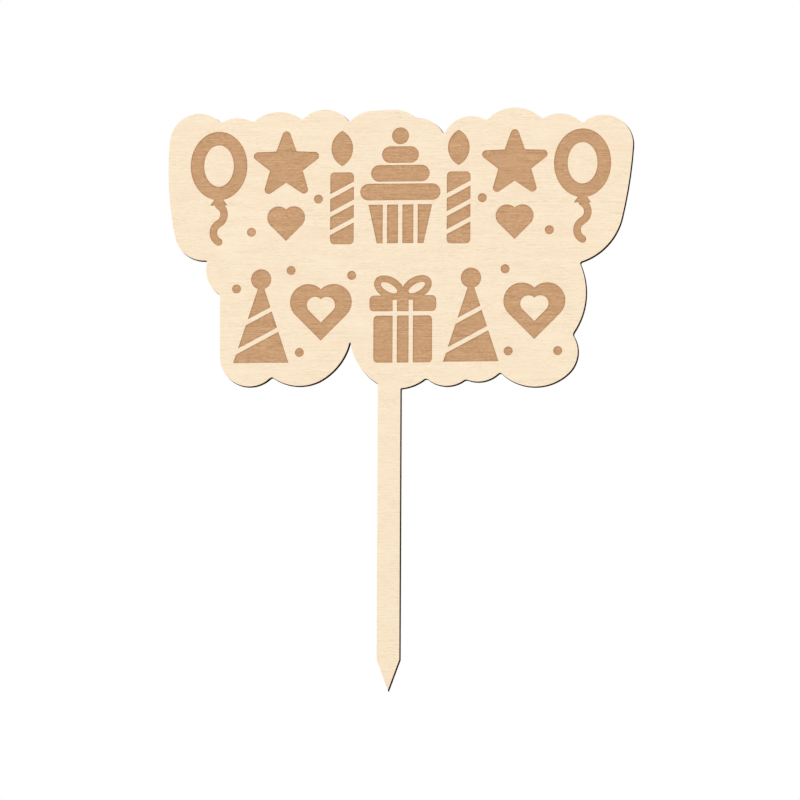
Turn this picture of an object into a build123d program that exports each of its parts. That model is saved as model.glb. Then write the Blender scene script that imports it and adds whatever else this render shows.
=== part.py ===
from build123d import *

import os
from dataclasses import dataclass
from enum import IntEnum

# Plywood cake topper: a scalloped plaque on a pointed stake, cut in one outline from three-ply board and
# engraved with party motifs. +Z runs up the stake, the front face looks along -Y, and the origin is the
# stake's tip at mid-thickness. Sizes are millimetres. A place on the plaque is (across, up): across is the
# distance in from the plaque's left or right end, or from the stake, and up is from the top of the stake.

# Board build-up, front to back
FACE_VENEER = 0.8
FRONT_GLUE = 0.1
CORE_PLY = 1.2
REAR_GLUE = 0.1
BACK_VENEER = 0.8

# Stake that is pushed into the cake
STAKE_WIDTH = 7.0
STAKE_LENGTH = 90.0
POINT_LENGTH = 9.5

# Plaque: its width over the end scallops, and how far its middle stands to the right of the stake
PLAQUE_WIDTH = 139.8
PLAQUE_OFFSET = 3.1

# Scalloped border: how far the cut line stands out from the points that each scallop is drawn around
SCALLOP_RADIUS = 9.0
ARCH_RADIUS = 11.4
BULGE_RADIUS = 21.5

# Points of the scallops. One point is a round lobe, two are a straight band, three are an arc, and five
# are two arcs end to end.
# In from the left end
LEFT_END = ((9.3, 74.5), (9.1, 61.0), (10.9, 48.1))
LEFT_STEP = ((20.5, 36.4),)
LEFT_WALL = ((24.7, 28.0), (24.8, 10.2))
LEFT_BOWL = ((36.9, 11.3), (39.4, 10.3), (41.8, 10.7), (44.6, 13.1), (46.2, 16.4))
LEFT_INNER_LOBE = ((47.2, 75.4),)
LEFT_ARCH = ((33.3, 72.4),)
LEFT_TOP_LOBE = ((20.8, 73.1),)
# From the stake
STAKE_BOWL = ((-2.8, 15.2), (-1.2, 11.6), (1.2, 9.5), (3.3, 9.4), (5.3, 10.4))
MIDDLE_STEP = ((8.0, 72.7),)
MIDDLE_FLAT = ((1.4, 75.2), (-5.2, 74.9))
# In from the right end
RIGHT_FIRST_FOOT = ((55.8, 10.0),)
RIGHT_SECOND_FOOT = ((46.4, 11.2),)
RIGHT_BOWL = ((33.8, 11.8), (29.5, 9.6), (25.5, 11.1))
RIGHT_BULGE = ((35.6, 28.8),)
RIGHT_END = ((18.3, 46.5), (14.4, 49.0), (12.2, 53.0), (10.4, 62.0), (9.1, 73.1))
RIGHT_TOP_LOBE = ((22.2, 73.6),)
RIGHT_ARCH = ((35.6, 73.1),)
RIGHT_INNER_LOBE = ((48.7, 73.0),)

# Engraving, burnt into the face veneer
ENGRAVING_DEPTH = 0.3
GAP_WIDTH = 1.4
CORNER_RADIUS = 1.2
STRIPE_TILT = 28.0

# Motifs that stand at the same place in from either end
BALLOON_PLACE = (15.3, 67.6)
STAR_PLACE = (35.6, 67.6)
SMALL_HEART_PLACE = (35.6, 49.6)
CANDLE_PLACE = (52.4, 43.8)
UPPER_CONFETTI = ((25.2, 47.6), (45.3, 57.4))
# Motifs in from the left end
LEFT_HAT_PLACE = (28.2, 8.4)
LEFT_HEART_PLACE = (46.2, 22.6)
LEFT_CONFETTI = ((20.8, 30.6), (37.2, 36.0), (55.4, 34.4), (39.8, 11.4))
# Motifs from the stake
CUPCAKE_PLACE = (3.1, 44.0)
GIFT_PLACE = (4.0, 8.2)
# Motifs in from the right end
RIGHT_HAT_PLACE = (48.6, 8.4)
RIGHT_HEART_PLACE = (29.6, 22.6)
RIGHT_CONFETTI = ((38.4, 36.0), (37.4, 11.4), (22.6, 11.4))

BALLOON_WIDTH = 17.0
BALLOON_HEIGHT = 20.5
BALLOON_LINE = 4.0
KNOT_WIDTH = 5.0
KNOT_HEIGHT = 1.6
STRING_WIDTH = 2.2
STRING_LENGTH = 11.0
STRING_SWAY = 1.6

STAR_RADIUS = 10.2
STAR_WAIST = 4.9
STAR_POINTS = 5

SMALL_HEART_SIDE = 6.6
HEART_SIDE = 10.8
HEART_HOLE_SIDE = 5.0
HEART_HOLE_LIFT = 1.2

CANDLE_WIDTH = 7.0
CANDLE_HEIGHT = 21.5
CANDLE_STRIPES = 3
CANDLE_STRIPE_PITCH = 5.4
FLAME_WIDTH = 6.4
FLAME_HEIGHT = 10.5
FLAME_LIFT = 2.0

WRAPPER_TOP = 19.0
WRAPPER_BOTTOM = 14.0
WRAPPER_HEIGHT = 11.5
WRAPPER_PLEATS = 3
WRAPPER_PLEAT_PITCH = 4.6
FROSTING_WIDTHS = (24.0, 17.5, 11.0)
FROSTING_HEIGHT = 4.9
FROSTING_GAP = 0.7
CHERRY_RADIUS = 2.5

HAT_WIDTH = 16.5
HAT_HEIGHT = 25.0
HAT_STRIPES = 2
HAT_STRIPE_PITCH = 7.2
POMPOM_RADIUS = 3.0

GIFT_WIDTH = 17.5
GIFT_HEIGHT = 14.0
LID_OVERHANG = 1.2
LID_HEIGHT = 4.6
RIBBON_WIDTH = 3.4
BOW_LENGTH = 9.6
BOW_HEIGHT = 6.4
BOW_HOLE_LENGTH = 5.6
BOW_HOLE_HEIGHT = 2.4
BOW_TILT = 30.0

CONFETTI_RADIUS = 1.3


class Side(IntEnum):
    """What a place across the plaque is measured from."""

    LEFT = -1
    STAKE = 0
    RIGHT = 1


def on_plaque(place, side):
    """A place as (x, height above the stake), measured from an end of the plaque or from the stake."""
    across, up = place
    if side is Side.STAKE:
        return across, up
    return PLAQUE_OFFSET + side * (PLAQUE_WIDTH / 2 - across), up


@dataclass(frozen=True)
class Scallop:
    """A lobe or band of the border, drawn at a set distance around its points."""

    side: Side
    places: tuple
    radius: float = SCALLOP_RADIUS

    def points(self):
        """The scallop's points on the plaque."""
        return [on_plaque(place, self.side) for place in self.places]

    def faces(self):
        """The disc, the straight band or the curved bands of this scallop."""
        points = self.points()
        if len(points) == 1:
            return [Pos(*points[0]) * Circle(self.radius)]
        if len(points) == 2:
            return [SlotArc(Line(*points), 2 * self.radius)]
        arcs = [ThreePointArc(*points[start : start + 3]) for start in range(0, len(points) - 2, 2)]
        return [SlotArc(arc, 2 * self.radius) for arc in arcs]


# Anticlockwise from the top of the left end
SCALLOPS = (
    Scallop(Side.LEFT, LEFT_END),
    Scallop(Side.LEFT, LEFT_STEP),
    Scallop(Side.LEFT, LEFT_WALL),
    Scallop(Side.LEFT, LEFT_BOWL),
    Scallop(Side.STAKE, STAKE_BOWL),
    Scallop(Side.RIGHT, RIGHT_FIRST_FOOT),
    Scallop(Side.RIGHT, RIGHT_SECOND_FOOT),
    Scallop(Side.RIGHT, RIGHT_BOWL),
    Scallop(Side.RIGHT, RIGHT_BULGE, BULGE_RADIUS),
    Scallop(Side.RIGHT, RIGHT_END),
    Scallop(Side.RIGHT, RIGHT_TOP_LOBE),
    Scallop(Side.RIGHT, RIGHT_ARCH, ARCH_RADIUS),
    Scallop(Side.RIGHT, RIGHT_INNER_LOBE),
    Scallop(Side.STAKE, MIDDLE_STEP),
    Scallop(Side.STAKE, MIDDLE_FLAT),
    Scallop(Side.LEFT, LEFT_INNER_LOBE),
    Scallop(Side.LEFT, LEFT_ARCH, ARCH_RADIUS),
    Scallop(Side.LEFT, LEFT_TOP_LOBE),
)


def plaque_outline():
    """The scallops and the field that their points enclose, as one face."""
    field = Polygon(*[point for scallop in SCALLOPS for point in scallop.points()])
    return field + [face for scallop in SCALLOPS for face in scallop.faces()]


def stake_outline():
    """A pointed blade that runs up into the plaque by two scallop radii."""
    half = STAKE_WIDTH / 2
    top = STAKE_LENGTH + 2 * SCALLOP_RADIUS
    return Polygon((0, 0), (half, POINT_LENGTH), (half, top), (-half, top), (-half, POINT_LENGTH))


def board_outline():
    """The one line that is cut through every layer."""
    return Pos(0, STAKE_LENGTH) * plaque_outline() + stake_outline()


def rounded_bar(width, height):
    """A bar standing on the base line, with corners no rounder than its shorter side allows."""
    radius = min(CORNER_RADIUS, 0.45 * width, 0.45 * height)
    return Pos(0, height / 2) * RectangleRounded(width, height, radius)


def stripes(count, pitch, middle, length):
    """Slanting gaps between stripes, spaced up and down from their middle height."""
    gap = Rotation(0, 0, STRIPE_TILT) * Rectangle(length, GAP_WIDTH)
    return [Pos(0, middle + (index - (count - 1) / 2) * pitch) * gap for index in range(count)]


def balloon():
    """A balloon ring with its knot and a swaying string, about the ring's middle."""
    half_width = BALLOON_WIDTH / 2
    half_height = BALLOON_HEIGHT / 2
    ring = Ellipse(half_width, half_height)
    ring -= Ellipse(half_width - BALLOON_LINE, half_height - BALLOON_LINE)
    foot = -half_height - KNOT_HEIGHT
    neck = -half_height + BALLOON_LINE / 2
    knot = Polygon((0, neck), (-KNOT_WIDTH / 2, foot), (KNOT_WIDTH / 2, foot))
    middle = foot - STRING_LENGTH / 2
    end = foot - STRING_LENGTH
    upper_string = SlotArc(SagittaArc((0, foot), (0, middle), STRING_SWAY), STRING_WIDTH)
    lower_string = SlotArc(SagittaArc((0, middle), (0, end), -STRING_SWAY), STRING_WIDTH)
    return ring + [knot, upper_string, lower_string]


def star():
    """A solid star with softened points."""
    corners = []
    for index in range(2 * STAR_POINTS):
        reach = STAR_WAIST if index % 2 else STAR_RADIUS
        corner = Vector(0, reach - CORNER_RADIUS).rotate(Axis.Z, index * 180 / STAR_POINTS)
        corners.append((corner.X, corner.Y))
    return offset(Polygon(*corners), CORNER_RADIUS, kind=Kind.ARC)


def solid_heart(side):
    """A square on its corner with a round lobe on each upper side, about the square's middle."""
    square = Rotation(0, 0, 45) * Rectangle(side, side)
    shift = side / 2 * 0.5**0.5
    return square + [Pos(turn * shift, shift) * Circle(side / 2) for turn in (-1, 1)]


def heart():
    """A heart drawn as a broad line around a smaller heart."""
    return solid_heart(HEART_SIDE) - Pos(0, HEART_HOLE_LIFT) * solid_heart(HEART_HOLE_SIDE)


def candle():
    """A striped candle with its flame, from the candle's foot up."""
    wax = rounded_bar(CANDLE_WIDTH, CANDLE_HEIGHT)
    wax -= stripes(CANDLE_STRIPES, CANDLE_STRIPE_PITCH, CANDLE_HEIGHT / 2, 2 * CANDLE_WIDTH)
    base = (0, CANDLE_HEIGHT + FLAME_LIFT)
    tip = (0, CANDLE_HEIGHT + FLAME_LIFT + FLAME_HEIGHT)
    sides = [SagittaArc(base, tip, FLAME_WIDTH / 2), SagittaArc(tip, base, FLAME_WIDTH / 2)]
    return wax + make_face(sides)


def cupcake():
    """A pleated wrapper under layers of frosting and a cherry, from the wrapper's foot up."""
    half_top = WRAPPER_TOP / 2
    half_bottom = WRAPPER_BOTTOM / 2
    wrapper = Polygon(
        (-half_bottom, 0),
        (half_bottom, 0),
        (half_top, WRAPPER_HEIGHT),
        (-half_top, WRAPPER_HEIGHT),
    )
    pleat = Pos(0, WRAPPER_HEIGHT / 2) * Rectangle(GAP_WIDTH, WRAPPER_HEIGHT)
    for index in range(WRAPPER_PLEATS):
        wrapper -= Pos((index - (WRAPPER_PLEATS - 1) / 2) * WRAPPER_PLEAT_PITCH, 0) * pleat
    layers = []
    rise = WRAPPER_HEIGHT + GAP_WIDTH
    for width in FROSTING_WIDTHS:
        layers.append(Pos(0, rise + FROSTING_HEIGHT / 2) * SlotOverall(width, FROSTING_HEIGHT))
        rise += FROSTING_HEIGHT + FROSTING_GAP
    cherry = Pos(0, rise + CHERRY_RADIUS) * Circle(CHERRY_RADIUS)
    return wrapper + [*layers, cherry]


def party_hat():
    """A striped cone with a pompom, from the brim up."""
    half = HAT_WIDTH / 2
    cone = Polygon((-half, 0), (half, 0), (0, HAT_HEIGHT))
    stripes_middle = HAT_STRIPE_PITCH * (HAT_STRIPES + 1) / 2
    cone -= stripes(HAT_STRIPES, HAT_STRIPE_PITCH, stripes_middle, 2 * HAT_WIDTH)
    return cone + Pos(0, HAT_HEIGHT) * Circle(POMPOM_RADIUS)


def gift():
    """A lidded box with a ribbon and a two-loop bow, from the box's foot up."""
    lid_foot = GIFT_HEIGHT + GAP_WIDTH
    lid_top = lid_foot + LID_HEIGHT
    box = rounded_bar(GIFT_WIDTH, GIFT_HEIGHT)
    box += Pos(0, lid_foot) * rounded_bar(GIFT_WIDTH + 2 * LID_OVERHANG, LID_HEIGHT)
    ribbon_edge = (RIBBON_WIDTH + GAP_WIDTH) / 2
    ribbon_gap = Pos(0, lid_top / 2) * Rectangle(GAP_WIDTH, lid_top)
    box -= [Pos(turn * ribbon_edge, 0) * ribbon_gap for turn in (-1, 1)]
    loop = Ellipse(BOW_LENGTH / 2, BOW_HEIGHT / 2) - Ellipse(BOW_HOLE_LENGTH / 2, BOW_HOLE_HEIGHT / 2)
    loop = Pos(BOW_LENGTH / 2, 0) * loop
    turns = (BOW_TILT, 180 - BOW_TILT)
    return box + [Pos(0, lid_top) * Rotation(0, 0, turn) * loop for turn in turns]


def ornament():
    """The engraved party motifs, in two rows on the plaque."""
    dot = Circle(CONFETTI_RADIUS)
    paired = [
        (balloon(), BALLOON_PLACE),
        (star(), STAR_PLACE),
        (solid_heart(SMALL_HEART_SIDE), SMALL_HEART_PLACE),
        (candle(), CANDLE_PLACE),
        *[(dot, place) for place in UPPER_CONFETTI],
    ]
    hat = party_hat()
    open_heart = heart()
    left = [(hat, LEFT_HAT_PLACE), (open_heart, LEFT_HEART_PLACE)]
    left += [(dot, place) for place in LEFT_CONFETTI]
    right = [(hat, RIGHT_HAT_PLACE), (open_heart, RIGHT_HEART_PLACE)]
    right += [(dot, place) for place in RIGHT_CONFETTI]
    middle = [(cupcake(), CUPCAKE_PLACE), (gift(), GIFT_PLACE)]
    groups = {Side.LEFT: paired + left, Side.STAKE: middle, Side.RIGHT: paired + right}
    return Sketch() + [
        Pos(*on_plaque(place, side)) * motif for side, motifs in groups.items() for motif, place in motifs
    ]


def layer(outline, front, thickness):
    """A layer of board that reaches back from its front, a distance in front of mid-thickness."""
    return extrude(Plane.XZ.offset(front - thickness) * outline, thickness)


def board():
    """Every layer of the board by name, glued face to face, with the engraving in the first."""
    outline = board_outline()
    thicknesses = {
        "face_veneer": FACE_VENEER,
        "front_glue_line": FRONT_GLUE,
        "core_ply": CORE_PLY,
        "rear_glue_line": REAR_GLUE,
        "back_veneer": BACK_VENEER,
    }
    board_front = sum(thicknesses.values()) / 2
    layers = {}
    front = board_front
    for name, thickness in thicknesses.items():
        layers[name] = layer(outline, front, thickness)
        front -= thickness
    engraving = Pos(0, STAKE_LENGTH) * ornament()
    layers["face_veneer"] -= layer(engraving, board_front, ENGRAVING_DEPTH)
    return layers


os.makedirs("parts", exist_ok=True)
for node, solid in board().items():
    export_step(solid, f"parts/{node}.step")
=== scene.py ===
import logging
import math
from dataclasses import dataclass, field
from enum import Enum, IntEnum

import bpy
import numpy as np
from bpy.types import Material, Node, NodeSocket, NodeTree, Object
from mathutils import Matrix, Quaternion, Vector
from mathutils.geometry import delaunay_2d_cdt


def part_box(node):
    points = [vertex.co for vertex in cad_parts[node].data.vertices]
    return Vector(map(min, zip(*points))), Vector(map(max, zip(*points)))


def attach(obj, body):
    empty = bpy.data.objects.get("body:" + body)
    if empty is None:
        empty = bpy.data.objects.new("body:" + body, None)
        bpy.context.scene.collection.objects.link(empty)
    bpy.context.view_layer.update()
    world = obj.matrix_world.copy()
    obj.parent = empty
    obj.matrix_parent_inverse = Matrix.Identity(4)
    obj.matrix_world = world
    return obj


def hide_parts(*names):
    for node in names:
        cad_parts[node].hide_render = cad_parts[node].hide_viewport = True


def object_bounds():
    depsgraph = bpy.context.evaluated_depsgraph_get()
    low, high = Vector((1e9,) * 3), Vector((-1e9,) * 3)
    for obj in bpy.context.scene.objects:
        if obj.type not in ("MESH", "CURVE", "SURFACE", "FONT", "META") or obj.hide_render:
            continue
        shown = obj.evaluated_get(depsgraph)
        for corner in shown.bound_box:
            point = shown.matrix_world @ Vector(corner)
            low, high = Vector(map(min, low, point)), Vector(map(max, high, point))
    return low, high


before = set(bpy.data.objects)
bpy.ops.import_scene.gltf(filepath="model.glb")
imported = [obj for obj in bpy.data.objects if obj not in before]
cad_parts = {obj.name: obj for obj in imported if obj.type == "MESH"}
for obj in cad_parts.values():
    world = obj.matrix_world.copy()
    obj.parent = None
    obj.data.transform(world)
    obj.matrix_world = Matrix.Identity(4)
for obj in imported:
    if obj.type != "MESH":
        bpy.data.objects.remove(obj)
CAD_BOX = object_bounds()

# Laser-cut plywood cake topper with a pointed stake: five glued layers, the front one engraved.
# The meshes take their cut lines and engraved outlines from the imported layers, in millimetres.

LOG = logging.getLogger("cake_topper")
MM = 0.001

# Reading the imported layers. Lengths are in millimetres, and CHORD_SAGITTA is the pack's own tolerance.
SAME_PLACE = 1e-4
FLAT_WITHIN = 0.01
CHORD_SAGITTA = 0.045
LONGEST_CHORD = 3.2
CORNER_TURN = math.radians(38)

# Making the meshes. Lengths are in millimetres.
CORNER_POINTS = 9
CLEAR_OF_CORNER = 0.05
ARRIS = 0.03
ARRIS_CHORDS = 3
LIP_CHORDS = 2
CHAR_RIM = 0.045
CORE_RECESS = 0.02
GLUE_RECESS = 0.04
MITRE_FLOOR = 0.35
RIM_CLEARANCE = 0.28
WELD = 1e-7
LEAST_AREA = 1e-9
SEARCH_BLOCK = 512
RIDGE_MM = (5.0, 0.6)
RIDGE_SEED = 11
SHARP_EDGE = math.radians(40)

# Patterns. Sizes are in millimetres, and stops and levels are values of the noise that they read.
SWAY_LENGTH_MM = 20.0
NOISE_ROUGHNESS = 0.55
CLOUD_STOPS = (0.34, 0.5, 0.66)
GROUP_LEVELS = (0.35, 0.6)
SMOKE_MM = (9.0, 9.0)
SMOKE_PATCHINESS = 1.2
SMOKE_LEVELS = (0.4, 1.15)
CHAR_STOPS = (0.36, 0.5, 0.64)
STRETCH_DEPTH_MM = 20.0
STRETCH_SHARE = 0.5

# Wood, char and glue refract about alike.
IOR = 1.5

# Colour sockets of a Mix node, by number, because its sockets share their names.
MIX_A = 6
MIX_B = 7
MIX_RESULT = 2

# The meshes' own maps, and the side of the bake's square sheet.
CUT_MAP = "along_cut"
NEAR_CUT = "from_cut"
BAKE_MAP = "OFBake"
SHEET_MM = 178.0


class Surface(IntEnum):
    """Material slots of a layer, by how the surface was made."""

    FACE = 0
    EDGE = 1
    FLOOR = 2


class Grain(Enum):
    """Direction of a layer's grain, as a turn about the thickness."""

    ACROSS = 0.0
    UPRIGHT = math.pi / 2


class Facing(IntEnum):
    """Side that a flat cap looks to along the thickness."""

    FRONT = -1
    BACK = 1


def linear(colour: str) -> tuple[float, float, float, float]:
    """Turns an sRGB hex colour into linear RGBA by the curve of the sRGB standard.

    Args:
        colour: six hex digits after a hash mark.

    Returns:
        Linear red, green, blue and an alpha of 1.
    """
    values = np.array([int(colour[i : i + 2], 16) for i in (1, 3, 5)]) / 255
    low, high = values / 12.92, ((values + 0.055) / 1.055) ** 2.4
    red, green, blue = np.where(values <= 0.04045, low, high)
    return float(red), float(green), float(blue), 1.0


def add_node(
    tree: NodeTree,
    kind: str,
    inputs: dict[str | int, object] | None = None,
    stops: tuple[tuple[float, str], ...] = (),
    **settings: object,
) -> Node:
    """Adds a node with its settings, and sets or links its inputs.

    Args:
        tree: the node tree that gets the node.
        kind: the node's Blender type name.
        inputs: input name or number to an output socket to link, or else a value.
        stops: place and sRGB hex colour of each stop of a colour ramp, from low to high.
        settings: attributes of the node itself.

    Returns:
        The new node.
    """
    node = tree.nodes.new(kind)
    for name, value in settings.items():
        setattr(node, name, value)
    for key, value in (inputs or {}).items():
        if isinstance(value, NodeSocket):
            tree.links.new(value, node.inputs[key])
        else:
            node.inputs[key].default_value = value
    for number, (place, colour) in enumerate(stops):
        elements = node.color_ramp.elements
        stop = elements[number] if number < len(elements) else elements.new(place)
        stop.position = place
        stop.color = linear(colour)
    return node


@dataclass(frozen=True)
class Finish:
    """What every finish has: its name, roughness range, specular level and depth of relief."""

    name: str
    roughness: tuple[float, float]
    specular: float
    relief_mm: float

    def start(self) -> tuple[Material, NodeTree, Node]:
        """Makes the material.

        Returns:
            The material, its node tree and its Principled shader.
        """
        material = bpy.data.materials.new(self.name)
        material.use_nodes = True
        tree = material.node_tree
        shader = tree.nodes["Principled BSDF"]
        shader.inputs["IOR"].default_value = IOR
        shader.inputs["Specular IOR Level"].default_value = self.specular
        return material, tree, shader

    def surface(self, tree: NodeTree, shader: Node, colour: NodeSocket, height: NodeSocket) -> None:
        """Links colour, roughness and bump to the shader; hollows are the rougher places.

        Args:
            tree: the material's node tree.
            shader: its Principled shader.
            colour: the colour output.
            height: a height from 0 to 1, as high as relief_mm.
        """
        smooth, rough = self.roughness
        spread = add_node(
            tree, "ShaderNodeMapRange", {"Value": height, "To Min": rough, "To Max": smooth}, clamp=True
        )
        bump = add_node(
            tree, "ShaderNodeBump", {"Height": height, "Strength": 1.0, "Distance": self.relief_mm * MM}
        )
        tree.links.new(colour, shader.inputs["Base Color"])
        tree.links.new(spread.outputs["Result"], shader.inputs["Roughness"])
        tree.links.new(bump.outputs["Normal"], shader.inputs["Normal"])


@dataclass(frozen=True)
class Wood(Finish):
    """Basswood surface: long fibre lines, dashes and short ripples, and clouds of tone under them.

    The real fibre marks are about 0.1 mm wide, too fine for the render, so they are drawn line_mm wide.
    A mark is the sum of three noises, lengths_mm long, by their shares. levels are its values at the dark
    tone of lines, at both ends of the middle one and at the pale one. Lines show fully in patches of
    group_mm, and by group_floor between them, over the clouds. sway_mm is how far the grain wanders.
    """

    lines: tuple[str, str, str]
    clouds: tuple[str, str, str]
    levels: tuple[float, float, float, float]
    line_mm: float
    lengths_mm: tuple[float, float, float]
    shares: tuple[float, float, float]
    group_mm: tuple[float, float]
    group_floor: float
    cloud_mm: tuple[float, float]
    sway_mm: float
    grain: Grain
    smoke: str | None = None

    def material(self) -> Material:
        """Builds the wood.

        Returns:
            A material on Object coordinates.
        """
        material, tree, shader = self.start()
        place = add_node(tree, "ShaderNodeTexCoord").outputs["Object"]
        board = add_node(
            tree,
            "ShaderNodeMapping",
            {"Vector": place, "Rotation": (0.0, self.grain.value, 0.0), "Scale": (1 / MM, 1 / MM, 1 / MM)},
        ).outputs["Vector"]
        wander = add_node(
            tree, "ShaderNodeTexNoise", {"Vector": board, "Scale": 1 / SWAY_LENGTH_MM, "Detail": 1.0}
        )
        swayed = add_node(
            tree,
            "ShaderNodeVectorMath",
            {0: wander.outputs["Color"], 1: (0.0, 0.0, self.sway_mm), 2: board},
            operation="MULTIPLY_ADD",
        ).outputs["Vector"]
        marks: NodeSocket | float = 0.0
        for length, share in zip(self.lengths_mm, self.shares, strict=True):
            noise = self.drawn_out(tree, swayed, (length, self.line_mm), 0.0)
            marks = add_node(
                tree, "ShaderNodeMath", {0: noise, 1: share, 2: marks}, operation="MULTIPLY_ADD"
            ).outputs[0]
        dark, middle, pale = self.lines
        ink, plain, bare, shine = self.levels
        drawn = add_node(
            tree,
            "ShaderNodeValToRGB",
            {"Fac": marks},
            stops=((ink, dark), (plain, middle), (bare, middle), (shine, pale)),
        ).outputs["Color"]
        cloud = self.drawn_out(tree, swayed, self.cloud_mm, 1.0)
        stops = tuple(zip(CLOUD_STOPS, self.clouds, strict=True))
        tones = add_node(tree, "ShaderNodeValToRGB", {"Fac": cloud}, stops=stops).outputs["Color"]
        group = self.drawn_out(tree, swayed, self.group_mm, 0.0)
        low, high = GROUP_LEVELS
        inked = add_node(
            tree,
            "ShaderNodeMapRange",
            {"Value": group, "From Min": low, "From Max": high, "To Min": self.group_floor, "To Max": 1.0},
        ).outputs["Result"]
        wood = add_node(
            tree, "ShaderNodeMix", {"Factor": inked, MIX_A: tones, MIX_B: drawn}, data_type="RGBA"
        ).outputs[MIX_RESULT]
        colour = self.smoked(tree, board, wood) if self.smoke else wood
        self.surface(tree, shader, colour, marks)
        return material

    def smoked(self, tree: NodeTree, board: NodeSocket, wood: NodeSocket) -> NodeSocket:
        """Smoke stain: a tint over the wood that fades away from the cut and comes in patches.

        Args:
            tree: the node tree.
            board: place on the board in millimetres.
            wood: colour of the clean wood.

        Returns:
            The stained colour.
        """
        near = add_node(tree, "ShaderNodeAttribute", attribute_name=NEAR_CUT).outputs["Fac"]
        patch = self.drawn_out(tree, board, SMOKE_MM, 2.0)
        reach = add_node(
            tree, "ShaderNodeMath", {0: patch, 1: SMOKE_PATCHINESS, 2: near}, operation="MULTIPLY_ADD"
        ).outputs[0]
        low, high = SMOKE_LEVELS
        strength = add_node(
            tree,
            "ShaderNodeMapRange",
            {"Value": reach, "From Min": low, "From Max": high, "To Min": 1.0, "To Max": 0.0},
            interpolation_type="SMOOTHSTEP",
        ).outputs["Result"]
        return add_node(
            tree,
            "ShaderNodeMix",
            {"Factor": strength, MIX_A: wood, MIX_B: linear(self.smoke)},
            data_type="RGBA",
            blend_type="MULTIPLY",
        ).outputs[MIX_RESULT]

    def drawn_out(
        self, tree: NodeTree, vector: NodeSocket, size_mm: tuple[float, float], detail: float
    ) -> NodeSocket:
        """Noise drawn out along the grain.

        Args:
            tree: the node tree.
            vector: place on the board in millimetres.
            size_mm: length and width of one streak.
            detail: octaves of finer noise.

        Returns:
            The noise, from 0 to 1.
        """
        length, width = size_mm
        drawn = add_node(
            tree, "ShaderNodeMapping", {"Vector": vector, "Scale": (1 / length, 1 / length, 1 / width)}
        ).outputs["Vector"]
        return add_node(
            tree,
            "ShaderNodeTexNoise",
            {"Vector": drawn, "Scale": 1.0, "Detail": detail, "Roughness": NOISE_ROUGHNESS},
        ).outputs["Fac"]


@dataclass(frozen=True)
class CharredCut(Finish):
    """Laser-cut edge: char in fine bars across the thickness, browner in some stretches than in others.

    The beam's bars are about 0.3 mm apart, too fine for the render, so they are drawn about 1 mm apart.
    bar_mm is their pitch and length, and stretch_mm how long a browner stretch is.
    """

    tones: tuple[str, str, str]
    bar_mm: tuple[float, float]
    stretch_mm: float

    def material(self) -> Material:
        """Builds the char.

        Returns:
            A material on the layer's map along the cut, in millimetres.
        """
        material, tree, shader = self.start()
        place = add_node(tree, "ShaderNodeUVMap", uv_map=CUT_MAP).outputs["UV"]
        pitch, reach = self.bar_mm
        across = add_node(
            tree, "ShaderNodeMapping", {"Vector": place, "Scale": (1 / pitch, 1 / reach, 1.0)}
        ).outputs["Vector"]
        bars = add_node(
            tree,
            "ShaderNodeTexNoise",
            {"Vector": across, "Scale": 1.0, "Detail": 2.0},
            noise_dimensions="2D",
        ).outputs["Fac"]
        along = add_node(
            tree,
            "ShaderNodeMapping",
            {"Vector": place, "Scale": (1 / self.stretch_mm, 1 / STRETCH_DEPTH_MM, 1.0)},
        ).outputs["Vector"]
        stretch = add_node(
            tree,
            "ShaderNodeTexNoise",
            {"Vector": along, "Scale": 1.0, "Detail": 1.0},
            noise_dimensions="2D",
        ).outputs["Fac"]
        mixed = add_node(
            tree, "ShaderNodeMix", {"Factor": STRETCH_SHARE, "A": bars, "B": stretch}, data_type="FLOAT"
        ).outputs[0]
        stops = tuple(zip(CHAR_STOPS, self.tones, strict=True))
        colour = add_node(tree, "ShaderNodeValToRGB", {"Fac": mixed}, stops=stops).outputs["Color"]
        self.surface(tree, shader, colour, bars)
        return material


# Basswood ply, sanded: nearly white wood, matt, with thin broken lines along the grain and faint clouds.
SANDED_FACE = Wood(
    name="sanded_basswood",
    roughness=(0.56, 0.7),
    specular=0.3,
    relief_mm=0.004,
    lines=("#ECD7B6", "#F9E5C8", "#FEEDD4"),
    clouds=("#F6DDC1", "#F9E4C7", "#FCEBCE"),
    levels=(0.312, 0.5, 0.51, 0.698),
    line_mm=0.18,
    lengths_mm=(30.0, 3.8, 1.0),
    shares=(0.31, 0.3, 0.39),
    group_mm=(14.0, 3.2),
    group_floor=0.5,
    cloud_mm=(18.0, 5.0),
    sway_mm=0.35,
    grain=Grain.ACROSS,
)

# The same ply from the back: a little browner, as the less choice side, with smoke along the cut.
SANDED_BACK = Wood(
    name="sanded_basswood_back",
    roughness=(0.58, 0.72),
    specular=0.3,
    relief_mm=0.006,
    lines=("#CFB48F", "#F1DCBD", "#FBECD4"),
    clouds=("#EFD7B9", "#F1DCBD", "#F0DEBC"),
    levels=(0.29, 0.49, 0.52, 0.72),
    line_mm=0.25,
    lengths_mm=(34.0, 5.0, 1.6),
    shares=(0.33, 0.33, 0.34),
    group_mm=(16.0, 4.0),
    group_floor=0.45,
    cloud_mm=(22.0, 6.0),
    sway_mm=3.0,
    grain=Grain.ACROSS,
    smoke="#D9BF9E",
)

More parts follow.
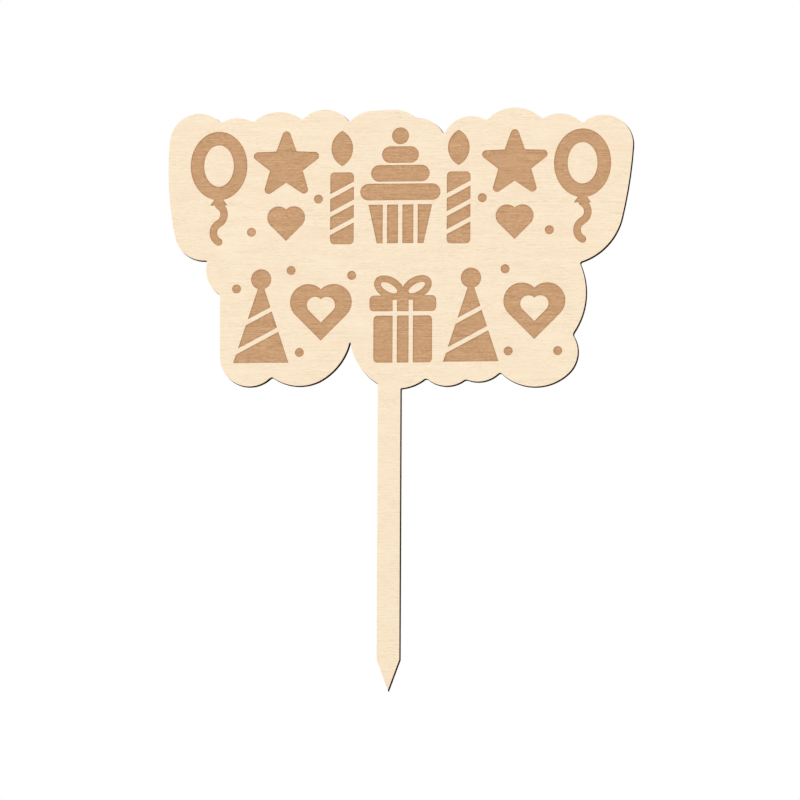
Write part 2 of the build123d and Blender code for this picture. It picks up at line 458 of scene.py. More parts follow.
# Bare core ply, peeled and pressed: yellower, coarser, its grain upright.
PEELED_CORE = Wood(
    name="peeled_basswood_core",
    roughness=(0.65, 0.8),
    specular=0.25,
    relief_mm=0.02,
    lines=("#B99869", "#DDC29A", "#EBD6B4"),
    clouds=("#DBBD95", "#DDC29A", "#D9C193"),
    levels=(0.28, 0.48, 0.54, 0.74),
    line_mm=0.4,
    lengths_mm=(30.0, 8.0, 2.0),
    shares=(0.35, 0.35, 0.3),
    group_mm=(16.0, 4.0),
    group_floor=0.4,
    cloud_mm=(24.0, 6.0),
    sway_mm=3.0,
    grain=Grain.UPRIGHT,
)

# Laser-burnt floor of the engraving: even tan, with the grain showing as thin darker and paler lines.
BURNT_FLOOR = Wood(
    name="laser_burnt_basswood",
    roughness=(0.66, 0.8),
    specular=0.2,
    relief_mm=0.006,
    lines=("#B0845B", "#C89D74", "#DDB38B"),
    clouds=("#C79B72", "#C89D74", "#C99F76"),
    levels=(0.295, 0.5, 0.5, 0.705),
    line_mm=0.18,
    lengths_mm=(26.0, 3.6, 0.9),
    shares=(0.27, 0.33, 0.4),
    group_mm=(10.0, 3.0),
    group_floor=0.62,
    cloud_mm=(12.0, 3.0),
    sway_mm=0.35,
    grain=Grain.ACROSS,
)

# Charred cut through a veneer: dead matt dark brown.
CHARRED_VENEER = CharredCut(
    name="charred_basswood_cut",
    roughness=(0.8, 0.95),
    specular=0.0,
    relief_mm=0.05,
    tones=("#241403", "#352006", "#4A3010"),
    bar_mm=(1.0, 4.0),
    stretch_mm=24.0,
)

# Charred cut through the core: end grain burns deeper, so it is darker.
CHARRED_CORE = CharredCut(
    name="charred_end_grain_cut",
    roughness=(0.8, 0.95),
    specular=0.0,
    relief_mm=0.05,
    tones=("#1B0F03", "#291805", "#3A250B"),
    bar_mm=(0.9, 4.0),
    stretch_mm=20.0,
)

# Urea glue film, cured: brittle amber, smooth where it lay against the wood.
CURED_GLUE = Wood(
    name="cured_urea_glue",
    roughness=(0.35, 0.5),
    specular=0.5,
    relief_mm=0.01,
    lines=("#4E361F", "#5C4026", "#6B4D30"),
    clouds=("#583C23", "#5C4026", "#60452A"),
    levels=(0.3, 0.46, 0.56, 0.72),
    line_mm=1.2,
    lengths_mm=(6.0, 3.0, 1.2),
    shares=(0.4, 0.4, 0.2),
    group_mm=(9.0, 6.0),
    group_floor=0.3,
    cloud_mm=(14.0, 9.0),
    sway_mm=3.0,
    grain=Grain.UPRIGHT,
)

# The glue at the cut: burnt nearly black.
CHARRED_GLUE = CharredCut(
    name="charred_glue_cut",
    roughness=(0.6, 0.75),
    specular=0.05,
    relief_mm=0.02,
    tones=("#0F0904", "#1A1107", "#291C0E"),
    bar_mm=(1.2, 4.0),
    stretch_mm=16.0,
)


def chain_loops(start: np.ndarray, end: np.ndarray) -> list[np.ndarray]:
    """Orders directed edges into closed loops by pointer doubling.

    Each edge points to the edge that begins where it ends. Doubling those pointers gives every edge the
    lowest number in its loop, the loop's head, and then its count of steps to that head, which falls along
    the loop.

    Args:
        start: point number where each edge begins; each number occurs once.
        end: point number where it ends.

    Returns:
        The point numbers of each loop, in order.
    """
    count = len(start)
    number = np.arange(count)
    by_start = np.argsort(start)
    follower = by_start[np.searchsorted(start[by_start], end)]
    rounds = range(math.ceil(math.log2(count)) + 1)
    head, jump = number, follower
    for _ in rounds:
        head = np.minimum(head, head[jump])
        jump = jump[jump]
    is_head = head == number
    steps, jump = np.where(is_head, 0, 1), np.where(is_head, number, follower)
    for _ in rounds:
        steps = steps + steps[jump]
        jump = jump[jump]
    ranked = np.lexsort((np.where(is_head, -count, -steps), head))
    breaks = np.flatnonzero(np.diff(head[ranked])) + 1
    return [start[edges] for edges in np.split(ranked, breaks)]


def cap_loops(node: Object, depth: float) -> list[np.ndarray]:
    """Outlines of a packed layer's flat faces at one depth.

    An edge of those triangles is on an outline where no other triangle has it the other way round. Seen
    from the front, the flat face lies on the left of each loop.

    Args:
        node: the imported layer, loose triangles in metres.
        depth: the y of the faces, in millimetres.

    Returns:
        Closed loops of (x, z) in millimetres.
    """
    places = np.empty(len(node.data.vertices) * 3)
    node.data.vertices.foreach_get("co", places)
    corners = np.empty(len(node.data.loops), np.int64)
    node.data.loops.foreach_get("vertex_index", corners)
    grid = np.round(places.reshape(-1, 3) / (MM * SAME_PLACE)).astype(np.int64)
    merged, which = np.unique(grid, axis=0, return_inverse=True)
    points = merged * SAME_PLACE
    triangles = which.ravel()[corners].reshape(-1, 3)
    flat = (np.abs(points[triangles, 1] - depth) < FLAT_WITHIN).all(axis=1)
    start = triangles[flat].ravel()
    end = np.roll(triangles[flat], -1, axis=1).ravel()
    key, back = start * len(points) + end, end * len(points) + start
    rim = ~np.isin(key, back)
    return [points[loop][:, [0, 2]] for loop in chain_loops(start[rim], end[rim])]


def chords_and_turns(loop: np.ndarray) -> tuple[np.ndarray, np.ndarray, np.ndarray]:
    """Chords of a loop, and how it turns from each one to the next.

    Args:
        loop: closed loop of points.

    Returns:
        The chord that begins at each point, its length, and the turn at the point, positive to the left.
    """
    chord = np.roll(loop, -1, axis=0) - loop
    length = np.hypot(chord[:, 0], chord[:, 1])
    heading = np.arctan2(chord[:, 1], chord[:, 0])
    turn = (heading - np.roll(heading, 1) + math.pi) % (2 * math.pi) - math.pi
    return chord, length, turn


def refine_loop(loop: np.ndarray, step: float) -> np.ndarray:
    """Bows each chord of a loop out to the arc that it stands for, and divides it evenly.

    The curvature at a point is its turn over the mean of the two chords that meet there. A chord takes the
    smaller curvature of its ends, none at a corner, and is bowed as a parabola with the sagitta
    curvature * length^2 / 8, never more than the pack's own tolerance.

    Args:
        loop: closed loop of points.
        step: longest piece of the result, in the loop's unit.

    Returns:
        The finer closed loop.
    """
    chord, length, turn = chords_and_turns(loop)
    corner = np.abs(turn) > CORNER_TURN
    bend = 2 * turn / (length + np.roll(length, 1))
    corner_after, bend_after = np.roll(corner, -1), np.roll(bend, -1)
    first = np.where(corner, bend_after, bend)
    last = np.where(corner_after, bend, bend_after)
    arc = (first * last > 0) & ~(corner & corner_after) & (length < LONGEST_CHORD)
    curvature = np.where(arc, np.sign(first) * np.minimum(np.abs(first), np.abs(last)), 0.0)
    sagitta = np.clip(curvature * length**2 / 8, -CHORD_SAGITTA, CHORD_SAGITTA)
    pieces = np.maximum(1, np.ceil(length / step)).astype(int)
    owner = np.repeat(np.arange(len(loop)), pieces)
    share = (np.arange(len(owner)) - np.repeat(np.cumsum(pieces) - pieces, pieces)) / pieces[owner]
    right = np.column_stack([chord[:, 1], -chord[:, 0]]) / length[:, None]
    bow = 4 * sagitta[owner] * share * (1 - share)
    return loop[owner] + share[:, None] * chord[owner] + bow[:, None] * right[owner]


def soften_inward(loop: np.ndarray, trim: float, root_trim: float, root_height: float) -> np.ndarray:
    """Rounds the corners that turn into the wood, where the beam swings from one scallop to the next.

    Each such corner gives way to a parabola, (1-s)^2 a + 2 s (1-s) corner + s^2 b, between the points a
    and b that lie trim before and after it along the loop. The points in between are dropped.

    Args:
        loop: closed loop of points, the wood on its left.
        trim: length that the rounding takes on each side of a corner.
        root_trim: the same for the corners at the stake's root.
        root_height: height below which a corner is one of those.

    Returns:
        The loop with a short curve in place of each inward corner.
    """
    _, length, turn = chords_and_turns(loop)
    run = np.cumsum(length) - length
    whole = length.sum()
    inward = np.flatnonzero(turn < -CORNER_TURN)
    reach = np.where(loop[inward, 1] < root_height, root_trim, trim)
    away = np.abs((run[:, None] - run[inward] + whole / 2) % whole - whole / 2)
    kept = (away > reach + CLEAR_OF_CORNER).all(axis=1)
    s = np.linspace(0, 1, CORNER_POINTS)
    place = (run[inward, None] + reach[:, None] * (2 * s - 1)) % whole
    x, z = (np.interp(place[:, [0, -1]], run, loop[:, axis], period=whole) for axis in (0, 1))
    a, b = np.stack([x[:, 0], z[:, 0]], axis=1)[:, None], np.stack([x[:, 1], z[:, 1]], axis=1)[:, None]
    t = s[None, :, None]
    curve = (1 - t) ** 2 * a + 2 * t * (1 - t) * loop[inward][:, None] + t**2 * b
    order = np.argsort(np.concatenate([run[kept], place.ravel()]))
    return np.concatenate([loop[kept], curve.reshape(-1, 2)])[order]


def mitres(loop: np.ndarray) -> np.ndarray:
    """Vector at each point that moves both chords that meet there one unit to their left.

    It is the sum of the chords' left normals over one plus their dot product.

    Args:
        loop: closed loop of points.

    Returns:
        One vector for each point.
    """
    chord, length, _ = chords_and_turns(loop)
    after = np.column_stack([-chord[:, 1], chord[:, 0]]) / length[:, None]
    before = np.roll(after, 1, axis=0)
    return (after + before) / np.maximum(1 + (after * before).sum(axis=1), MITRE_FLOOR)[:, None]


def quarter_round(radius: float, chords: int) -> np.ndarray:
    """Section of a rounded corner from a face to the wall behind it.

    It is radius * (1 - sin t, 1 - cos t), with t from nothing to a right angle.

    Args:
        radius: of the rounding.
        chords: how many straight pieces it has.

    Returns:
        Rows of (inset, depth).
    """
    turn = np.linspace(0, math.pi / 2, chords + 1)
    return radius * np.column_stack([1 - np.sin(turn), 1 - np.cos(turn)])


def enclosed(places: np.ndarray, loops: list[np.ndarray]) -> np.ndarray:
    """Even-odd rule: a point is enclosed where a ray along +x crosses the loops an odd number of times.

    Args:
        places: points to test.
        loops: closed loops.

    Returns:
        True for each enclosed point.
    """
    a = np.concatenate(loops)
    b = np.concatenate([np.roll(loop, -1, axis=0) for loop in loops])
    slope = (b[:, 0] - a[:, 0]) / np.where(a[:, 1] == b[:, 1], 1.0, b[:, 1] - a[:, 1])
    found = []
    for block in np.array_split(places, max(1, len(places) // SEARCH_BLOCK)):
        x, z = block[:, :1], block[:, 1:]
        spans = (a[:, 1] > z) != (b[:, 1] > z)
        found.append((spans & (x < a[:, 0] + (z - a[:, 1]) * slope)).sum(axis=1) % 2 == 1)
    return np.concatenate(found)


def gap_to(places: np.ndarray, targets: np.ndarray) -> np.ndarray:
    """Distance from each place to the nearest target point.

    Args:
        places: points to measure from.
        targets: points to measure to.

    Returns:
        One distance for each place.
    """
    found = []
    for block in np.array_split(places, max(1, len(places) // SEARCH_BLOCK)):
        away = block[:, None] - targets[None]
        found.append(np.sqrt((away**2).sum(axis=2).min(axis=1)))
    return np.concatenate(found)


def lattice(loops: list[np.ndarray], pitch: tuple[float, float]) -> np.ndarray:
    """Staggered rows of points inside a region.

    They stay clear of the outline's points by half a pitch or by RIM_CLEARANCE, whichever is more.

    Args:
        loops: the region's closed outlines, by the even-odd rule.
        pitch: spacing along x and z.

    Returns:
        The points.
    """
    outline = np.concatenate(loops)
    low, high = outline.min(axis=0), outline.max(axis=0)
    rows = np.arange(low[1], high[1], pitch[1])
    columns = np.arange(low[0], high[0], pitch[0])
    x, z = np.meshgrid(columns, rows)
    x = x + np.where(np.arange(len(rows)) % 2, pitch[0] / 2, 0.0)[:, None]
    places = np.column_stack([x.ravel(), z.ravel()])
    places = places[enclosed(places, loops)]
    return places[gap_to(places, outline) > max(min(pitch) / 2, RIM_CLEARANCE)]


def grain_ridges(places: np.ndarray) -> np.ndarray:
    """Height of the fibres that the beam left standing, as smooth noise drawn out along the grain.

    The noise is a seeded random table, one cell RIDGE_MM long and wide, read between its entries with the
    weight 3 t^2 - 2 t^3 along each side.

    Args:
        places: points (x, z) in millimetres.

    Returns:
        Heights from 0 to 1.
    """
    cell = (places - places.min(axis=0)) / np.array(RIDGE_MM)
    low = np.floor(cell).astype(int)
    weight = (cell - low) ** 2 * (3 - 2 * (cell - low))
    table = np.random.default_rng(RIDGE_SEED).random(low.max(axis=0) + 2)
    across, up = weight.T
    i, j = low.T
    lower = table[i, j] * (1 - across) + table[i + 1, j] * across
    upper = table[i, j + 1] * (1 - across) + table[i + 1, j + 1] * across
    return lower * (1 - up) + upper * up


@dataclass(frozen=True)
class Patch:
    """A flat face's place on the bake's square sheet: its scale, and the board's origin in millimetres."""

    scale: float
    origin: tuple[float, float]

    def lay(self, flat: np.ndarray, facing: Facing) -> np.ndarray:
        """Places on the sheet: z upwards, and x to the right as seen from the side that the face looks to.

        Args:
            flat: points (x, z) in millimetres, in the last axis.
            facing: the side that the face looks to.

        Returns:
            Places as shares of the sheet's side.
        """
        return (flat * (-facing * self.scale, self.scale) + self.origin) / SHEET_MM


@dataclass(frozen=True)
class Strips:
    """Rows on the bake's sheet for the cut edge, and the first row's corner, in millimetres."""

    origin: tuple[float, float] = (80.5, 2.0)
    length: float = 94.0
    height: float = 5.0
    pitch: float = 8.0

    def lay(self, start: np.ndarray, run: np.ndarray, fall: np.ndarray) -> np.ndarray:
        """Places on the sheet: the row is the whole part of start / length, and run and fall start at it.

        Args:
            start: length along the cut where the corner's face begins.
            run: length along the cut at the corner.
            fall: share of the way from the front of the edge to its back.

        Returns:
            Places as shares of the sheet's side.
        """
        row = np.floor(start / self.length)
        places = np.stack([run - row * self.length, row * self.pitch + (1 - fall) * self.height], axis=-1)
        return (places + self.origin) / SHEET_MM


FULL_PATCH = Patch(1.0, (75.0, 1.5))
SMALL_PATCH = Patch(0.43, (33.5, 2.0))
EDGE_STRIPS = Strips()


@dataclass
class Shell:
    """A closed mesh in the making: rings carried along loops, and caps that fill them."""

    points: list[np.ndarray] = field(default_factory=list)
    faces: list[np.ndarray] = field(default_factory=list)
    slots: list[np.ndarray] = field(default_factory=list)
    maps: list[np.ndarray] = field(default_factory=list)
    sheets: list[np.ndarray] = field(default_factory=list)
    count: int = 0

    def add_points(self, points: np.ndarray) -> np.ndarray:
        """Adds points.

        Args:
            points: their places (x, y, z) in millimetres.

        Returns:
            Their numbers.
        """
        numbers = self.count + np.arange(len(points))
        self.points.append(points)
        self.count += len(points)
        return numbers

    def add_faces(self, faces: np.ndarray, slots: np.ndarray, along: np.ndarray, sheet: np.ndarray) -> None:
        """Adds faces that all have as many corners.

        Args:
            faces: point numbers of each face.
            slots: material slot of each face.
            along: the cut map's (u, v) of each corner.
            sheet: the bake map's (u, v) of each corner.
        """
        self.faces.append(faces)
        self.slots.append(slots)
        self.maps.append(along.reshape(-1, 2))
        self.sheets.append(sheet.reshape(-1, 2))

    def wall(
        self, loop: np.ndarray, profile: np.ndarray, bands: list[Surface], patch: Patch | None = None
    ) -> tuple[np.ndarray, np.ndarray]:
        """Carries a profile along a loop: ring k is the loop moved left by inset k, at depth k.

        Args:
            loop: closed loop of (x, z), the wood on its left.
            profile: rows of (inset, depth), from the front to the back.
            bands: material slot of the band between each ring and the next.
            patch: the face that a shallow wall is baked with; a cut edge has none, and lies in strips.

        Returns:
            The point numbers of the first and the last ring.
        """
        rings = loop[None] + profile[:, 0, None, None] * mitres(loop)[None]
        depth = np.broadcast_to(profile[:, 1, None], rings.shape[:2])
        rows, size = rings.shape[:2]
        points = np.dstack([rings[..., 0], depth, rings[..., 1]])
        grid = self.add_points(points.reshape(-1, 3)).reshape(rows, size)
        run = np.concatenate([[0.0], np.cumsum(chords_and_turns(loop)[1])])
        slant = np.hypot(*np.diff(profile, axis=0).T)
        fall = np.concatenate([[0.0], np.cumsum(slant)])
        after = np.roll(grid, -1, axis=1)
        quads = np.stack([grid[:-1], grid[1:], after[1:], after[:-1]], axis=2)
        u = np.stack([run[:-1], run[:-1], run[1:], run[1:]], axis=1)
        v = np.stack([fall[:-1], fall[1:], fall[1:], fall[:-1]], axis=1)[:, None]
        u, v = np.broadcast_to(u, quads.shape), np.broadcast_to(v, quads.shape)
        if patch:
            sheet = patch.lay(rings.reshape(-1, 2)[quads - grid[0, 0]], Facing.FRONT)
        else:
            sheet = EDGE_STRIPS.lay(u[..., :1], u, v / fall[-1])
        self.add_faces(quads.reshape(-1, 4), np.repeat(bands, size), np.stack([u, v], axis=3), sheet)
        return grid[0], grid[-1]

    def cap(
        self,
        rings: list[np.ndarray],
        slot: Surface,
        facing: Facing,
        patch: Patch,
        pitch: tuple[float, float],
        relief: float = 0.0,
    ) -> None:
        """Fills rings of one depth with a constrained triangulation over a lattice of inner points.

        Args:
            rings: point numbers of the closed rings.
            slot: material slot of the cap.
            facing: side that the cap looks to.
            patch: the cap's place on the bake's sheet.
            pitch: spacing of the inner points.
            relief: height of the ridges along the grain that the inner points follow.
        """
        known = np.concatenate(self.points)
        loops = [known[ring][:, [0, 2]] for ring in rings]
        inner = lattice(loops, pitch)
        depth = known[rings[0][0], 1] - relief * grain_ridges(inner)
        numbers = self.add_points(np.column_stack([inner[:, 0], depth, inner[:, 1]]))
        flat = np.concatenate([*loops, inner])
        names = np.concatenate([*rings, numbers])
        sizes = np.array([len(ring) for ring in rings])
        first = np.repeat(np.cumsum(sizes) - sizes, sizes)
        here = np.arange(sizes.sum())
        rim = np.column_stack([here, first + (here - first + 1) % np.repeat(sizes, sizes)])
        made = delaunay_2d_cdt(flat.tolist(), rim.tolist(), [], 0, WELD, False)
        if len(made[0]) != len(flat):
            raise ValueError(f"a cap's outline crosses itself: {len(flat)} points became {len(made[0])}")
        triangles = np.array(made[2])
        corner = flat[triangles]
        one, two = corner[:, 1] - corner[:, 0], corner[:, 2] - corner[:, 0]
        area = one[:, 0] * two[:, 1] - one[:, 1] * two[:, 0]
        triangles = triangles[enclosed(corner.mean(axis=1), loops) & (np.abs(area) > LEAST_AREA)]
        if facing is Facing.BACK:
            triangles = triangles[:, ::-1]
        corner = flat[triangles]
        self.add_faces(names[triangles], np.full(len(triangles), slot), corner, patch.lay(corner, facing))

    def piece(self, name: str) -> Object:
        """Puts the arrays into a mesh object.

        Args:
            name: the piece's name.

        Returns:
            The object, at the origin.
        """
        mesh = bpy.data.meshes.new(name)
        corners = np.concatenate([faces.ravel() for faces in self.faces])
        totals = np.concatenate([np.full(len(faces), faces.shape[1]) for faces in self.faces])
        mesh.vertices.add(self.count)
        mesh.vertices.foreach_set("co", (np.concatenate(self.points) * MM).ravel())
        mesh.loops.add(len(corners))
        mesh.loops.foreach_set("vertex_index", corners)
        mesh.polygons.add(len(totals))
        mesh.polygons.foreach_set("loop_start", np.cumsum(totals) - totals)
        mesh.polygons.foreach_set("material_index", np.concatenate(self.slots))
        mesh.polygons.foreach_set("use_smooth", np.ones(len(totals), bool))
        for label, corners_uv in ((CUT_MAP, self.maps), (BAKE_MAP, self.sheets)):
            mesh.uv_layers.new(name=label).uv.foreach_set("vector", np.concatenate(corners_uv).ravel())
        mesh.update(calc_edges=True)
        mesh.set_sharp_from_angle(angle=SHARP_EDGE)
        made = bpy.data.objects.new(name, mesh)
        bpy.context.scene.collection.objects.link(made)
        even = made.modifiers.new("even_shading", "WEIGHTED_NORMAL")
        even.keep_sharp = True
        return made


@dataclass
class Layer:
    """One layer of the board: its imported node, its edge and its finishes. Sizes are in millimetres.

    recess is how far the edge lies behind the cut line, char_rim how far the char goes round on to a glued
    side, and stain how far smoke reaches from the cut. kerf_lean is how far the edge leans over the whole
    board. corner_trim rounds inward corners, and root_trim those below root_height. step is the longest
    piece of the cut line, and pitch the spacing of points on a face.
    """

    node: str
    slot: str
    face: Finish
    edge: Finish
    recess: float = 0.0
    front_arris: float = 0.0
    back_arris: float = 0.0
    char_rim: float = 0.0
    stain: float = 0.0
    kerf_lean: float = 0.125
    corner_trim: float = 0.8
    root_trim: float = 0.25
    root_height: float = 93.0
    step: float = 0.45
    pitch: float = 2.6
    front_patch: Patch = FULL_PATCH
    back_patch: Patch = SMALL_PATCH

    def depths(self) -> tuple[float, float]:
        """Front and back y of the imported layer, in millimetres."""
        low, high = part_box(self.node)
        return low.y / MM, high.y / MM

    def edge_profile(self) -> np.ndarray:
        """Section of the cut edge from front to back: an arris is a quarter round, a glued side is flat.

        The beam narrows as it goes through, so the edge leans out evenly from the board's front to its
        back. A ply stands a little proud of the glue, and the char goes round on to its glued side.

        Returns:
            Rows of (inset, depth).
        """
        front, back = self.depths()
        glued = np.array([0.0, self.char_rim] if self.char_rim else [0.0])
        start, end = np.column_stack([glued[::-1], 0 * glued]), np.column_stack([glued, 0 * glued])
        if self.front_arris:
            start = quarter_round(self.front_arris, ARRIS_CHORDS)
        if self.back_arris:
            end = quarter_round(self.back_arris, ARRIS_CHORDS)[::-1] * (1, -1)
        section = np.concatenate([start + (0.0, front), end + (0.0, back)])
        low, high = (corner.y / MM for corner in CAD_BOX)
        lean = self.kerf_lean * (high - section[:, 1]) / (high - low)
        return section + np.column_stack([lean + self.recess, np.zeros(len(section))])

    def edge_bands(self) -> list[Surface]:
        """Material slots of the edge from front to back: an arris is sanded with its face.

        Returns:
            One slot for each band of the section.
        """
        rim = [Surface.EDGE] * bool(self.char_rim)
        arris = [Surface.FACE] * ARRIS_CHORDS
        return (arris if self.front_arris else rim) + [Surface.EDGE] + (arris if self.back_arris else rim)

    def outline(self) -> np.ndarray:
        """The layer's cut line: the longest loop of its front face, its arcs made finer.

        Returns:
            A closed loop of (x, z), the wood on its left.
        """
        loops = cap_loops(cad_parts[self.node], self.depths()[0])
        fine = refine_loop(max(loops, key=np.ptp), self.step)
        return soften_inward(fine, self.corner_trim, self.root_trim, self.root_height)

    def form(self, shell: Shell) -> np.ndarray:
        """Builds the layer's mesh.

        Args:
            shell: the mesh in the making.

        Returns:
            The cut line.
        """
        outline = self.outline()
        front, back = shell.wall(outline, self.edge_profile(), self.edge_bands())
        shell.cap([front], Surface.FACE, Facing.FRONT, self.front_patch, (self.pitch, self.pitch))
        shell.cap([back], Surface.FACE, Facing.BACK, self.back_patch, (self.pitch, self.pitch))
        return outline

    def build(self) -> Object:
        """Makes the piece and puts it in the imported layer's place.

        Returns:
            The dressed piece.
        """
        shell = Shell()
        outline = self.form(shell)
        piece = shell.piece(f"{self.node}_dressed")
        if self.stain:
            away = gap_to(np.concatenate(shell.points)[:, [0, 2]], outline)
            near = np.minimum(away / self.stain, 1.0).astype(np.float32)
            piece.data.attributes.new(NEAR_CUT, "FLOAT", "POINT").data.foreach_set("value", near)
        self.dress(piece)
        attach(piece, "root")
        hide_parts(self.node)
        return piece

    def finishes(self) -> list[Finish]:
        """The finishes in the order of the material slots."""
        return [self.face, self.edge]

    def dress(self, piece: Object) -> None:
        """Gives the piece its materials, each finish made once.

        Args:
            piece: the layer's object.
        """
        for finish in self.finishes():
            found = bpy.data.materials.get(finish.name)
            piece.data.materials.append(found or finish.material())


@dataclass
class EngravedLayer(Layer):
    """The front layer, with its engraving: pockets that the beam burnt into the face.

    engraving is the pockets' depth, lip the rounding of their rim, and draft how far their wall leans.
    """

    floor: Finish | None = None
    engraving: float = 0.3
    lip: float = 0.05
    draft: float = 0.04
    floor_pitch: tuple[float, float] = (0.8, 0.3)
    floor_relief: float = 0.022

    def floor_depth(self) -> float:
        """The y of the pockets' floor, in millimetres."""
        return self.depths()[0] + self.engraving

    def pocket_profile(self) -> np.ndarray:
        """Section of a pocket's wall: a rounded lip on the face, a steep side and the foot on the floor.

        Returns:
            Rows of (inset, depth).
        """
        lip = quarter_round(self.lip, LIP_CHORDS) + (0.0, self.depths()[0])
        return np.concatenate([lip, [[-self.draft, self.floor_depth()]]])

    def form(self, shell: Shell) -> np.ndarray:
        """Builds the layer's mesh with its pockets.

        Args:
            shell: the mesh in the making.

        Returns:
            The cut line.
        """
        outline = self.outline()
        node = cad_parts[self.node]
        floors = [refine_loop(loop[::-1], self.step) for loop in cap_loops(node, self.floor_depth())]
        front, back = shell.wall(outline, self.edge_profile(), self.edge_bands())
        profile = self.pocket_profile()
        bands = [Surface.FLOOR] * (len(profile) - 1)
        seen, hidden = self.front_patch, self.back_patch
        pockets = [shell.wall(loop, profile, bands, seen) for loop in floors]
        lips, feet = [pair[0] for pair in pockets], [pair[1] for pair in pockets]
        shell.cap([front, *lips], Surface.FACE, Facing.FRONT, seen, (self.pitch, self.pitch))
        shell.cap(feet, Surface.FLOOR, Facing.FRONT, seen, self.floor_pitch, self.floor_relief)
        shell.cap([back], Surface.FACE, Facing.BACK, hidden, (self.pitch, self.pitch))
        return outline

    def finishes(self) -> list[Finish]:
        """The finishes in the order of the material slots."""
        return [self.face, self.edge, self.floor]


@dataclass
class Board:
    """The glued board, layer by layer from the front."""

    layers: list[Layer] = field(
        default_factory=lambda: [
            EngravedLayer(
                "face_veneer",
                "face_basswood",
                SANDED_FACE,
                CHARRED_VENEER,
                front_arris=ARRIS,
                char_rim=CHAR_RIM,
                floor=BURNT_FLOOR,
            ),
            Layer("front_glue_line", "glue", CURED_GLUE, CHARRED_GLUE, recess=GLUE_RECESS),
            Layer(
                "core_ply",
                "core_basswood",
                PEELED_CORE,
                CHARRED_CORE,
                recess=CORE_RECESS,
                char_rim=CHAR_RIM,
            ),
            Layer("rear_glue_line", "glue", CURED_GLUE, CHARRED_GLUE, recess=GLUE_RECESS),
            Layer(
                "back_veneer",
                "back_basswood",
                SANDED_BACK,
                CHARRED_VENEER,
                back_arris=ARRIS,
                char_rim=CHAR_RIM,
                stain=3.0,
                pitch=1.2,
                front_patch=SMALL_PATCH,
                back_patch=FULL_PATCH,
            ),
        ]
    )

    def build(self) -> list[Object]:
        """Builds every layer, and gives the pieces from front to back."""
        return [layer.build() for layer in self.layers]


@dataclass(frozen=True)
class Lamp:
    """A square soft box: its name, place and side in metres, and its watts."""

    name: str
    place: tuple[float, float, float]
    size: float
    power: float

    def hang(self, target: Vector) -> None:
        """Makes the lamp, which the camera doesn't see.

        Args:
            target: the point that it looks at.
        """
        light = bpy.data.lights.new(self.name, "AREA")
        light.size = self.size
        light.energy = self.power
        made = bpy.data.objects.new(self.name, light)
        made.location = self.place
        made.rotation_mode = "QUATERNION"
        made.rotation_quaternion = (target - Vector(self.place)).to_track_quat("-Z", "Y")
        made.visible_camera = False
        bpy.context.scene.collection.objects.link(made)


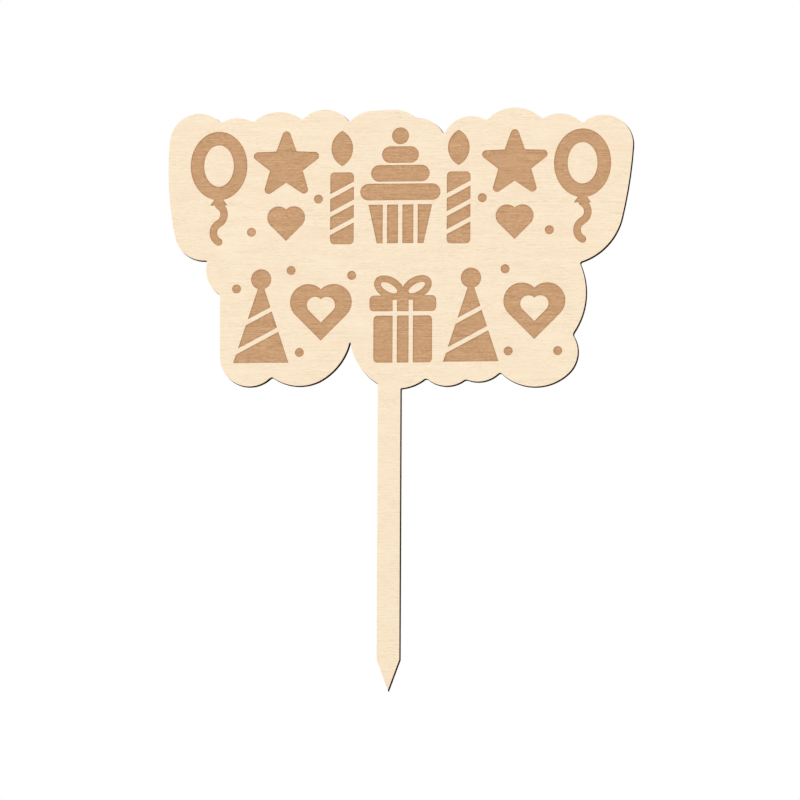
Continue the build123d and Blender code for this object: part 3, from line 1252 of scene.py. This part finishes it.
@dataclass
class Studio:
    """Plain studio: white world, pale floor, soft lamps and the camera. Sizes are in metres."""

    target: tuple[float, float, float] = (0.0031, 0.0, 0.0871)
    azimuth: float = 6.5
    elevation: float = -5.5
    roll: float = 0.25
    distance: float = 3.0
    lens: float = 453.1
    sight: float = 20.0
    world_level: float = 0.705
    paper: str = "#FCFCFC"
    floor_radius: float = 1.2
    floor_fade: tuple[float, float] = (0.12, 0.5)
    floor_rings: int = 12
    floor_spokes: int = 96
    lamps: tuple[Lamp, ...] = (
        Lamp("key", (-0.7, -1.5, 1.1), 1.0, 8.0),
        Lamp("fill", (1.1, -1.3, 0.3), 1.2, 3.4),
        Lamp("rear", (0.5, 1.5, 0.9), 1.2, 6.8),
    )

    def build(self) -> None:
        """Makes the world, floor, lamps and camera, and sets the view transform."""
        bpy.context.scene.view_settings.view_transform = "Standard"
        self.world()
        self.floor()
        for lamp in self.lamps:
            lamp.hang(Vector(self.target))
        self.camera()

    def world(self) -> None:
        """White to the camera and to reflections, and an even soft light to everything else."""
        world = bpy.data.worlds.new("studio")
        bpy.context.scene.world = world
        world.use_nodes = True
        tree = world.node_tree
        tree.nodes.clear()
        soft = add_node(tree, "ShaderNodeBackground", {"Color": (1, 1, 1, 1), "Strength": self.world_level})
        white = add_node(tree, "ShaderNodeBackground", {"Color": (1, 1, 1, 1), "Strength": 1.0})
        seen = self.seen(tree)
        mixed = add_node(tree, "ShaderNodeMixShader", {0: seen, 1: soft.outputs[0], 2: white.outputs[0]})
        add_node(tree, "ShaderNodeOutputWorld", {"Surface": mixed.outputs[0]})

    def seen(self, tree: NodeTree) -> NodeSocket:
        """One for rays of the camera, of reflections and of transmission, and zero for others.

        Args:
            tree: the node tree that asks.

        Returns:
            The socket with that value.
        """
        path = add_node(tree, "ShaderNodeLightPath")
        two = add_node(
            tree,
            "ShaderNodeMath",
            {0: path.outputs["Is Camera Ray"], 1: path.outputs["Is Glossy Ray"]},
            operation="MAXIMUM",
        )
        return add_node(
            tree,
            "ShaderNodeMath",
            {0: two.outputs[0], 1: path.outputs["Is Transmission Ray"]},
            operation="MAXIMUM",
        ).outputs[0]

    def floor(self) -> None:
        """A pale disc at the stake's tip, fading into the white world, and clear from below."""
        rings, spokes = self.floor_rings, self.floor_spokes
        steps = self.floor_radius * np.linspace(0, 1, rings + 1)[1:]
        radius, turn = np.meshgrid(steps, np.linspace(0, 2 * np.pi, spokes, endpoint=False))
        flat = np.column_stack([(radius * np.cos(turn)).ravel(), (radius * np.sin(turn)).ravel()])
        places = np.vstack([[0.0, 0.0, 0.0], np.column_stack([flat, np.zeros(len(flat))])])
        grid = 1 + np.arange(spokes * rings).reshape(spokes, rings)
        after = np.roll(grid, -1, axis=0)
        middle = np.column_stack([np.zeros(spokes, int), grid[:, 0], after[:, 0]])
        quads = np.stack([grid[:, :-1], grid[:, 1:], after[:, 1:], after[:, :-1]], axis=2).reshape(-1, 4)
        mesh = bpy.data.meshes.new("floor")
        mesh.from_pydata(places.tolist(), [], middle.tolist() + quads.tolist())
        made = bpy.data.objects.new("floor", mesh)
        bpy.context.scene.collection.objects.link(made)
        made.data.materials.append(self.floor_material())

    def floor_material(self) -> Material:
        """Matt white paper: takes the shadow near the topper and is plain white far from it.

        Returns:
            The floor's material.
        """
        material = bpy.data.materials.new("studio_paper")
        material.use_nodes = True
        tree = material.node_tree
        tree.nodes.clear()
        place = add_node(tree, "ShaderNodeTexCoord").outputs["Object"]
        away = add_node(tree, "ShaderNodeVectorMath", {0: place}, operation="LENGTH").outputs["Value"]
        near_edge, far_edge = self.floor_fade
        far = add_node(
            tree,
            "ShaderNodeMapRange",
            {"Value": away, "From Min": near_edge, "From Max": far_edge},
            interpolation_type="SMOOTHSTEP",
        ).outputs["Result"]
        seen = self.seen(tree)
        blank = add_node(tree, "ShaderNodeMath", {0: far, 1: seen}, operation="MULTIPLY").outputs[0]
        paper = add_node(tree, "ShaderNodeBsdfDiffuse", {"Color": linear(self.paper)}).outputs[0]
        white = add_node(tree, "ShaderNodeEmission", {"Color": (1, 1, 1, 1), "Strength": 1.0}).outputs[0]
        top = add_node(tree, "ShaderNodeMixShader", {0: blank, 1: paper, 2: white}).outputs[0]
        clear = add_node(tree, "ShaderNodeBsdfTransparent").outputs[0]
        under = add_node(tree, "ShaderNodeNewGeometry").outputs["Backfacing"]
        sheet = add_node(tree, "ShaderNodeMixShader", {0: under, 1: top, 2: clear}).outputs[0]
        add_node(tree, "ShaderNodeOutputMaterial", {"Surface": sheet})
        return material

    def camera(self) -> None:
        """A long lens a little to the right of the topper and below it, so that two cut edges show."""
        turn, rise = math.radians(self.azimuth), math.radians(self.elevation)
        back = Vector((math.sin(turn) * math.cos(rise), -math.cos(turn) * math.cos(rise), math.sin(rise)))
        data = bpy.data.cameras.new("camera")
        data.lens = self.lens
        data.clip_end = self.sight
        made = bpy.data.objects.new("camera", data)
        made.location = Vector(self.target) + self.distance * back
        made.rotation_mode = "QUATERNION"
        level = (-back).to_track_quat("-Z", "Y")
        made.rotation_quaternion = level @ Quaternion((0.0, 0.0, 1.0), math.radians(self.roll))
        bpy.context.scene.collection.objects.link(made)
        bpy.context.scene.camera = made


def main() -> None:
    """Builds the studio and the board."""
    logging.basicConfig(level=logging.INFO, format="%(name)s %(message)s")
    Studio().build()
    for piece in Board().build():
        LOG.info("%s: %d faces", piece.name, len(piece.data.polygons))
    bpy.context.view_layer.update()


if __name__ == "__main__":
    main()
